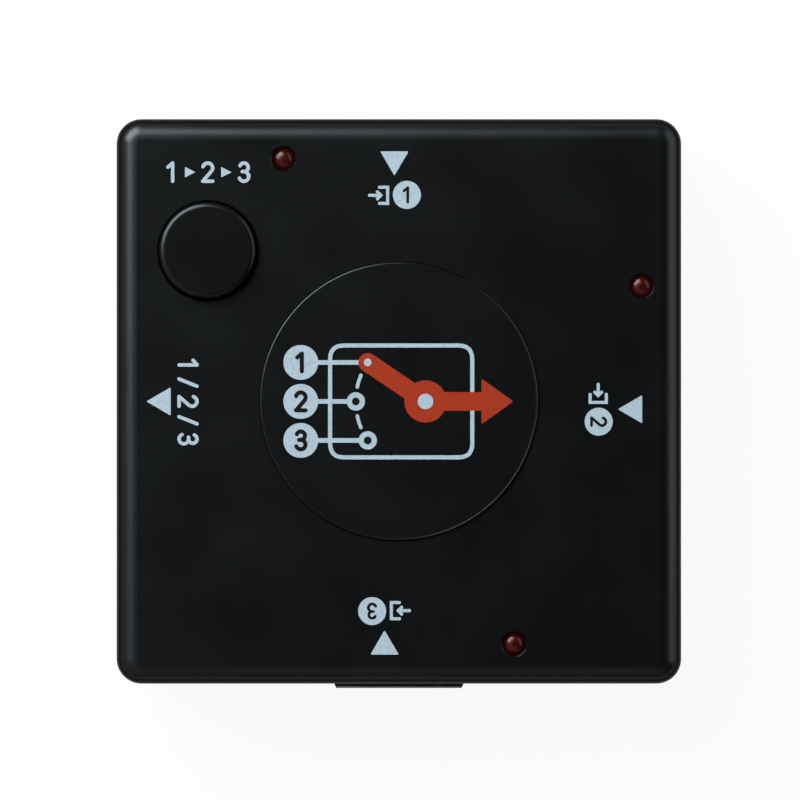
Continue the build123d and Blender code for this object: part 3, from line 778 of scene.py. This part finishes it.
for number, (side, (x, y)) in enumerate(apex_places.items(), start=1):
    disc_place = (x + disc_aside, y - disc_behind)
    sign_place = (x + sign_aside, y - sign_behind)
    pale = [triangle((x, y)), disc(disc_place, disc_radius)] + input_sign(sign_place)
    black = placed(digit(number, disc_digit_height, disc_digit_stroke), disc_place)
    print_film(f"{side}_mark", on_side(pale, side), top_height, "ink_pale")
    print_film(f"{side}_number", on_side(black, side), top_height, *black_over_pale)
print("input marks printed:", list(apex_places))

# %% Output mark
output_apex_out = 27.56
output_row_out = 23.01
output_height = 2.34
output_stroke = 0.38
output_pitch = 4.1
slash_lean = 0.4

slash_half = (output_height - output_stroke) / 2
slash_top = np.array((slash_lean * slash_half, slash_half))
slash = stroke([-slash_top, slash_top], output_stroke)
output_row = number_row(output_height, output_stroke, output_pitch, slash)
output_mark = [triangle((0, output_apex_out), inward=-1)]
output_mark += placed(output_row, (0, output_row_out), turn=180)
print_film("output_mark", on_side(output_mark, "output"), top_height, "ink_pale")
print("output mark printed, outlines:", len(output_mark))

# %% [markdown]
# ## Mark above the button
# Each press of the button moves on to the next input, so the place above it carries just that: 1,
# 2 and 3 with small arrowheads between them.

# %% Button mark
select_centre = (-20.86, 25.02)
select_height = 2.36
select_stroke = 0.38
select_pitch = 3.95
arrowhead_height = 1.15
arrowhead_corner = 0.08
arrowhead_shape = np.array([(-0.45, 0.5), (0.55, 0.0), (-0.45, -0.5)])

arrowhead = rounded(arrowhead_shape * arrowhead_height, arrowhead_corner)
select_row = number_row(select_height, select_stroke, select_pitch, arrowhead)
print_film("button_mark", placed(select_row, select_centre), top_height, "ink_pale")
print("button mark printed, outlines:", len(select_row))

# %% [markdown]
# ## Drawing on the plateau
# The round plateau carries a drawing of what the box does: a frame for the box, three numbered
# inputs that lead into it, a selector arm in red orange that lies on one of them, and an arrow
# that leaves the frame as the output. The terminals stand on a circle round the arm's pivot, so
# the reach of the arm and the spacing of the inputs settle the angle between them, and short arcs
# show its way. The frame is drawn in two halves, because a stroke can't run back into its start.

# %% Plateau drawing
pivot = np.array((2.9, 0.0))
pivot_radius = 2.3
pivot_eye = 0.85
arm_reach = 7.6
arm_width = 2.04
input_spacing = 4.25
terminal_radius = 1.0
terminal_eye = 0.42
lead_width = 0.5
number_x = -10.7
number_disc_radius = 1.9
number_height = 2.4
number_stroke = 0.46
frame_left, frame_right, frame_top = -7.5, 8.0, 6.1
frame_corner = 1.5
frame_width = 0.45
arrow_neck, arrow_tip = 9.0, 12.5
arrow_half_head = 2.5
arrow_corner = 0.3
dash_width = 0.38
dash_margin = 12
dash_steps = 12

swing = math.degrees(math.asin(input_spacing / arm_reach))
terminal_angles = (180 - swing, 180, 180 + swing)
terminals = arc(pivot, arm_reach, terminal_angles[0], terminal_angles[-1], len(terminal_angles))

pale, black = [], []
for number, terminal, height in zip((1, 2, 3), terminals, (input_spacing, 0, -input_spacing)):
    pale.append(stroke([(number_x, height), terminal], lead_width))
    pale.append(disc((number_x, height), number_disc_radius))
    pale.append(disc(terminal, terminal_radius))
    black += placed(digit(number, number_height, number_stroke), (number_x, height))
    black.append(disc(terminal, terminal_eye))
for start, end in zip(terminal_angles[:-1], terminal_angles[1:]):
    dash = arc(pivot, arm_reach, start + dash_margin, end - dash_margin, dash_steps)
    pale.append(stroke(dash, dash_width))

upper_corners = [(frame_left, frame_top), (frame_right, frame_top)]
lower_corners = [(frame_right, -frame_top), (frame_left, -frame_top)]
frame_path = rounded(upper_corners + lower_corners, frame_corner)
half_way = len(frame_path) // 2
frame_halves = [frame_path[: half_way + 1], np.vstack((frame_path[half_way:], frame_path[:1]))]
pale += [stroke(half, frame_width) for half in frame_halves]

arrow = [(arrow_neck, -arrow_half_head), (arrow_tip, 0), (arrow_neck, arrow_half_head)]
orange = [
    stroke([pivot, terminals[0]], arm_width),
    disc(pivot, pivot_radius),
    stroke([pivot, (arrow_neck, 0)], arm_width, round_ends=False),
    rounded(arrow, arrow_corner),
]
eyes = [disc(pivot, pivot_eye), disc(terminals[0], terminal_eye)]
print_film("plateau_numbers", pale, plateau_height, "ink_pale")
print_film("plateau_digits", black, plateau_height, *black_over_pale)
print_film("plateau_arm", orange, plateau_height, "ink_orange", lift=second_layer)
print_film("plateau_eyes", eyes, plateau_height, "ink_pale", lift=2 * second_layer)
print("swing between inputs:", round(swing, 1), "degrees")

# %% [markdown]
# ## Threads
# The screws form their own thread in the plastic posts. A thread is a ridge with a triangular
# section that winds round the core, and it starts and ends by growing out of the core over half a
# turn.

# %% Screw threads
thread_pitch = 0.9 * MM
thread_crest = 1.25 * MM
thread_core = 0.93 * MM
thread_foot = 0.5 * MM
thread_top = 10.2 * MM
thread_bottom = 2.6 * MM
thread_end_share = 0.05
thread_steps = 28
screw_place = 25.4 * MM


def turned(radius, a, height):
    """Points round the Z axis, (r cos a, r sin a, height) at each turn angle a, row by row."""
    x, y = radius * np.cos(a), radius * np.sin(a)
    return np.stack((x, y, height + 0 * a), axis=2).reshape(-1, 3)


def thread_ridge():
    """One ridge round the Z axis. At the turn angle a it stands at the height bottom + pitch a /
    (2 pi), and its section is a triangle with its foot on the core and its tip on the crest,
    scaled by min(1, a / pi) at the start and likewise at the end. Returns its points, three for
    each step, and its faces."""
    turn_count = (thread_top - thread_bottom) / thread_pitch
    a = np.linspace(0, 2 * math.pi * turn_count, int(turn_count * thread_steps) + 1)[:, None]
    grow = np.clip(np.minimum(a, a[-1] - a) / math.pi, thread_end_share, 1)
    core = np.full_like(a, thread_core)
    radius = np.hstack((core, core, core + (thread_crest - core) * grow))
    middle = thread_bottom + thread_pitch * a / (2 * math.pi)
    half = thread_foot * grow / 2
    points = turned(radius, a, np.hstack((middle - half, middle + half, middle)))
    step = np.arange(len(a) - 1)[:, None] * 3
    sides = [step + np.array((i, j, 3 + j, 3 + i)) for i, j in ((0, 1), (1, 2), (2, 0))]
    last = 3 * (len(a) - 1)
    ends = [[0, 2, 1], [last, last + 1, last + 2]]
    return points, np.vstack(sides).tolist() + ends


ridge_points, ridge_faces = thread_ridge()
for corner, (sx, sy) in enumerate(((1, 1), (-1, 1), (-1, -1), (1, -1)), start=1):
    place = np.array((sx * screw_place, sy * screw_place, 0))
    body_piece(f"screw_thread_{corner}", ridge_points + place, ridge_faces, "screw_steel")
print("thread ridge:", len(ridge_faces), "faces each")

# %% [markdown]
# ## Round edge of the plateau
# A mould leaves no sharp edge, and the rounded one of the plateau draws the thin bright arc in
# the picture. It is a ring round the Z axis. Its section is a quarter circle, which comes out of
# the plateau's top and bends over into its wall, and the rest of the section closes it inside the
# cover.

# %% Plateau edge
plateau_radius = 15.19 * MM
edge_rounding = 0.3 * MM
edge_overlay = 0.06 * MM
edge_lift = 0.004 * MM
edge_sink = 0.01 * MM
edge_bend_steps = 9
edge_turn_steps = 288


def ring_faces(grid):
    """Faces between each row of a grid of point numbers and the next row. The rows are rings, so
    the last point of a row is followed by its first."""
    beside = np.roll(grid, -1, axis=-1)
    rows = (grid[..., :-1, :], grid[..., 1:, :], beside[..., 1:, :], beside[..., :-1, :])
    return np.stack(rows, axis=-1).reshape(-1, 4).tolist()


def edge_ring(outer_radius, top, rounding, bottom, bend_steps):
    """A closed ring round the Z axis. Its section is a quarter circle from the top to the outer
    radius, then a wall down to the bottom, a floor, and a wall back up, and each of its points is
    turned round the axis. Returns the points and the faces, those of the bend first."""
    bend = arc((outer_radius - rounding, top - rounding), rounding, 90, 0, bend_steps)
    section = np.vstack((bend, (bend[-1, 0], bottom), (bend[0, 0], bottom)))
    a = np.linspace(0, 2 * math.pi, edge_turn_steps, endpoint=False)
    points = turned(section[:, :1], a, section[:, 1:])
    grid = np.arange(len(points)).reshape(len(section), edge_turn_steps)
    return points, ring_faces(np.vstack((grid, grid[:1])))


edge_points, edge_faces = edge_ring(
    plateau_radius + edge_overlay, plateau_height + edge_lift, edge_rounding,
    top_height - edge_sink, edge_bend_steps,
)
curved = (edge_bend_steps - 1) * edge_turn_steps
body_piece("plateau_edge", edge_points, edge_faces, "housing_plastic", smooth_faces=curved)
print("plateau edge:", len(edge_faces), "faces")

# %% [markdown]
# ## Round edge of the button
# The button's rim shows a broad soft light, and the gap round it is a hair wide. A sleeve does
# both: it lies a tenth of a millimetre over the button's side, bends over in a larger curve than
# the solid, dips under the solid's top just before it is level, and moves with the button.

# %% Button edge
button_radius = 5.208 * MM
sleeve_overlay = 0.12 * MM
sleeve_rounding = 0.68 * MM
sleeve_sink = 0.006 * MM
sleeve_depth = 0.9 * MM
sleeve_bend_steps = 15

sleeve_points, sleeve_faces = edge_ring(
    button_radius + sleeve_overlay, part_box("select_button")[1].z - sleeve_sink, sleeve_rounding,
    top_height - sleeve_depth, sleeve_bend_steps,
)
sleeve_points = sleeve_points + plan_middle("select_button")
curved = sleeve_bend_steps * edge_turn_steps
body_piece(
    "button_edge", sleeve_points, sleeve_faces, "button_plastic", smooth_faces=curved,
    body="button",
)
print("button edge:", len(sleeve_faces), "faces")

# %% [markdown]
# ## Rolled edges of the sockets
# The press that stamps the shells also rolls the front edges of their upper and lower lips round.
# A rolled edge is a thin rod with round ends, which lies in the tip of the lip.

# %% Rolled edges
lip_steel = 0.3 * MM
upper_lip_length = 13.78 * MM
lower_lip_length = 8.78 * MM
lower_lip_height = 7.03 * MM
rod_cap_angle = 80
rod_rings = 12
rod_steps = 16


def rod(length, radius):
    """A rod along X with round ends. For u from -80 to 80 degrees a ring stands at the place
    x = sign(u) (length / 2 - radius) + radius sin u and has the radius times cos u. The faces
    between the rings are turned over, to look outward."""
    u = np.radians(np.linspace(-rod_cap_angle, rod_cap_angle, rod_rings))[:, None]
    a = np.linspace(0, 2 * math.pi, rod_steps, endpoint=False)
    x = np.sign(u) * (length / 2 - radius) + radius * np.sin(u)
    points = np.roll(turned(radius * np.cos(u), a, x), 1, axis=1)
    grid = np.arange(len(points)).reshape(rod_rings, rod_steps)
    sides = [[i, l, k, j] for i, j, k, l in ring_faces(grid)]
    return points, sides + [grid[0, ::-1].tolist(), grid[-1].tolist()]


for side in turns:
    shell_low, shell_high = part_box(f"{side}_shell")
    lip_front = np.abs((shell_low, shell_high)).max() - lip_steel / 2
    lips = {
        "upper": (upper_lip_length, shell_high.z - lip_steel / 2),
        "lower": (lower_lip_length, lower_lip_height),
    }
    for lip, (length, height) in lips.items():
        points, faces = rod(length, lip_steel / 2)
        points = points + (0, lip_front, height)
        points[:, :2] = on_side([points[:, :2]], side)[0]
        body_piece(f"{side}_{lip}_edge", points, faces, "shell_steel")
print("rolled edges:", len(lips) * len(turns))

# %% [markdown]
# ## Snap dome
# Under the plunger of the switch lies a thin disc of spring steel that bulges up. The button's
# press flattens it, and it clicks back. The plunger would cut through a rigid disc. This one is a
# sheet that flattens towards its rim, and Solidify gives it the thickness of the steel, on its
# upper side.

# %% Snap dome
dome_steel = 0.1 * MM
dome_crown = 0.35
dome_rings = 14
dome_steps = 64


def bulging_disc(radius, rise):
    """Rings at the shares s of the radius. With t going from 0 at the crown's share to 1 at the
    rim, a ring stands at the height rise (1 - t^2 (3 - 2 t)), so that the crown is flat and the
    rim lies level on its floor. Triangles join the first ring to the middle."""
    s = np.linspace(0, 1, dome_rings + 1)[1:, None]
    t = np.clip((s - dome_crown) / (1 - dome_crown), 0, 1)
    a = np.linspace(0, 2 * math.pi, dome_steps, endpoint=False)
    rings = turned(s * radius, a, rise * (1 - t**2 * (3 - 2 * t)))
    grid = np.arange(len(rings)).reshape(dome_rings, dome_steps)
    middle = np.full(dome_steps, len(rings))
    fan = np.stack((middle, grid[0], np.roll(grid[0], -1)), axis=1)
    return np.vstack((rings, (0, 0, rise))), ring_faces(grid) + fan.tolist()


dome_low, dome_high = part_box("switch_dome")
dome_foot = plan_middle("switch_dome") + (0, 0, dome_low.z)
dome_rise = dome_high.z - dome_low.z - dome_steel
dome_points, dome_faces = bulging_disc((dome_high.x - dome_low.x) / 2, dome_rise)
snap_dome = body_piece("snap_dome", dome_points + dome_foot, dome_faces, "tinned_steel")
steel_sheet = snap_dome.modifiers.new("steel", "SOLIDIFY")
steel_sheet.thickness = dome_steel
steel_sheet.offset = 1
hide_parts("switch_dome")
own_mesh(snap_dome)
print("snap dome:", len(dome_faces), "faces, rise in mm:", in_mm(dome_rise))

# %% [markdown]
# ## Solder
# Under the board each leg stands in a small concave cone of solder, which the molten metal draws
# up by its surface tension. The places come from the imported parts: the lowest points of a node
# are gathered into feet, as the points of one foot lie closer together than two feet do.

# %% Solder under the board
solder_spread = 0.45 * MM
solder_height = 0.7 * MM
solder_margin = 0.05 * MM
solder_rings = 6
solder_steps = 20
foot_room = 1.3 * MM
slice_depth = 0.05 * MM
board_bottom, board_top = (corner.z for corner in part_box("circuit_board"))


def node_points(node):
    """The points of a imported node's mesh, as rows of an array."""
    mesh = frame["nodes"][node].data
    points = np.empty(len(mesh.vertices) * 3)
    mesh.vertices.foreach_get("co", points)
    return points.reshape(-1, 3)


def gathered(points, room):
    """Middles and half sizes of groups of points. Each point joins the first one of the list that
    lies nearer to it than the room."""
    apart = np.linalg.norm(points[:, None] - points[None], axis=2)
    first = np.argmax(apart < room, axis=1)
    groups = [points[first == label] for label in np.unique(first)]
    low, high = (np.array([edge(g, axis=0) for g in groups]) for edge in (np.min, np.max))
    return (low + high) / 2, (high - low) / 2


def solder_cones(middles, halves):
    """Concave cones. At the share t of the way down from the board, the outline is an ellipse with
    the half size of the foot plus the margin plus the spread times (1 - t) squared."""
    t = np.linspace(0, 1, solder_rings)
    a = np.linspace(0, 2 * math.pi, solder_steps, endpoint=False)
    reach = halves[:, None, :] + solder_spread * (1 - t)[None, :, None] ** 2 + solder_margin
    x = middles[:, 0, None, None] + reach[:, :, 0, None] * np.cos(a)
    y = middles[:, 1, None, None] + reach[:, :, 1, None] * np.sin(a)
    z = np.broadcast_to((board_bottom - solder_height * t)[None, :, None], x.shape)
    points = np.stack((x, y, z), axis=3).reshape(-1, 3)
    grid = np.arange(x.size).reshape(x.shape)
    lids = np.vstack((grid[:, 0], grid[:, -1, ::-1]))
    return points, ring_faces(grid) + lids.tolist()


leg_nodes = ["switch_legs"] + [f"{light}_legs" for light in lights]
leg_nodes += [f"{side}_shell" for side in turns]
foot_count = 0
for node in leg_nodes:
    points = node_points(node)
    lowest = points[points[:, 2] < points[:, 2].min() + slice_depth, :2]
    middles, halves = gathered(lowest, foot_room)
    points, faces = solder_cones(middles, halves)
    body_piece(f"{node}_solder", points, faces, "tinned_steel")
    foot_count += len(middles)
print("solder cones:", foot_count)

# %% [markdown]
# ## Copper under the lacquer
# Eleven lines lead from the tails of each socket's contacts to the eleven leads on the chip's
# facing side, and the other contacts end at a small pad. The lines run straight, slant across,
# and run straight again, and as both rows are taken in order, none of them cross.

# %% Copper lines
line_width = 0.22
line_start, line_bend_out, line_bend_in, line_end = 17.3, 15.2, 9.4, 6.3
tail_pitch = 0.5
tail_count = 19
lead_pitch = 0.8
lead_count = 11
pad_radius = 0.192
pad_out = 16.4
covered_dark = (0.03, 0.17, 0.06)
covered_light = (0.045, 0.22, 0.08)
copper_grain = 0.6 * MM
copper_rough = (0.2, 0.3)


def trace_copper():
    """Copper under green lacquer: a paler green with nearly the gloss of the board."""
    material, tree, surface = bench("trace_copper")
    rolled = cloud(tree, object_space(tree), copper_grain)
    plug(tree, surface, {
        "Base Color": shades(tree, rolled, covered_dark, covered_light),
        "Roughness": spread(tree, rolled, *copper_rough),
    })
    return material


copper = trace_copper()
tails = (np.arange(tail_count) - (tail_count - 1) / 2) * tail_pitch
leads = (np.arange(lead_count) - (lead_count - 1) / 2) * lead_pitch
joined = np.round(np.linspace(0, tail_count - 1, lead_count)).astype(int)
lines = []
for tail, lead in zip(tails[joined], leads):
    path = [(tail, line_start), (tail, line_bend_out), (lead, line_bend_in), (lead, line_end)]
    lines.append(stroke(path, line_width))
for tail in np.delete(tails, joined):
    lines.append(stroke([(tail, line_start), (tail, pad_out)], line_width))
    lines.append(disc((tail, pad_out), pad_radius))
line_surface = board_top - film_thickness / 2
for side in turns:
    print_film(f"{side}_lines", on_side(lines, side), line_surface, "board_laminate", copper)
print("copper lines:", len(turns) * len(joined))

# %% [markdown]
# ## Marks on the board's parts
# The chips have a pale dot at lead 1, and the cans a black segment on the side of their negative
# lead.

# %% Part marks
dot_inset_share = 0.2
dot_share = 0.08
dot_least = 0.1
can_room = 8 * MM
segment_share = 0.94
segment_half_angle = 60

for node in ("main_chip", "control_chip"):
    low, high = (np.array(corner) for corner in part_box(node))
    middle, half = (low + high)[:2] / 2 / MM, (high - low)[:2] / 2 / MM
    first_corner = middle + (half - dot_inset_share * half.max()) * np.array((-1, 1))
    dot = disc(first_corner, dot_share * half.max() + dot_least)
    print_film(f"{node}_dot", [dot], high[2], "chip_resin", finishes["ink_pale"])

can_points = node_points("electrolytic_cans")
can_top = can_points[:, 2].max()
crown = can_points[can_points[:, 2] > can_top - slice_depth, :2]
segments = [
    arc(middle / MM, segment_share * half.mean() / MM, -segment_half_angle, segment_half_angle)
    for middle, half in zip(*gathered(crown, can_room))
]
print_film("can_segments", segments, can_top, "can_aluminium", finishes["ink_black"])
print("cans marked:", len(segments))
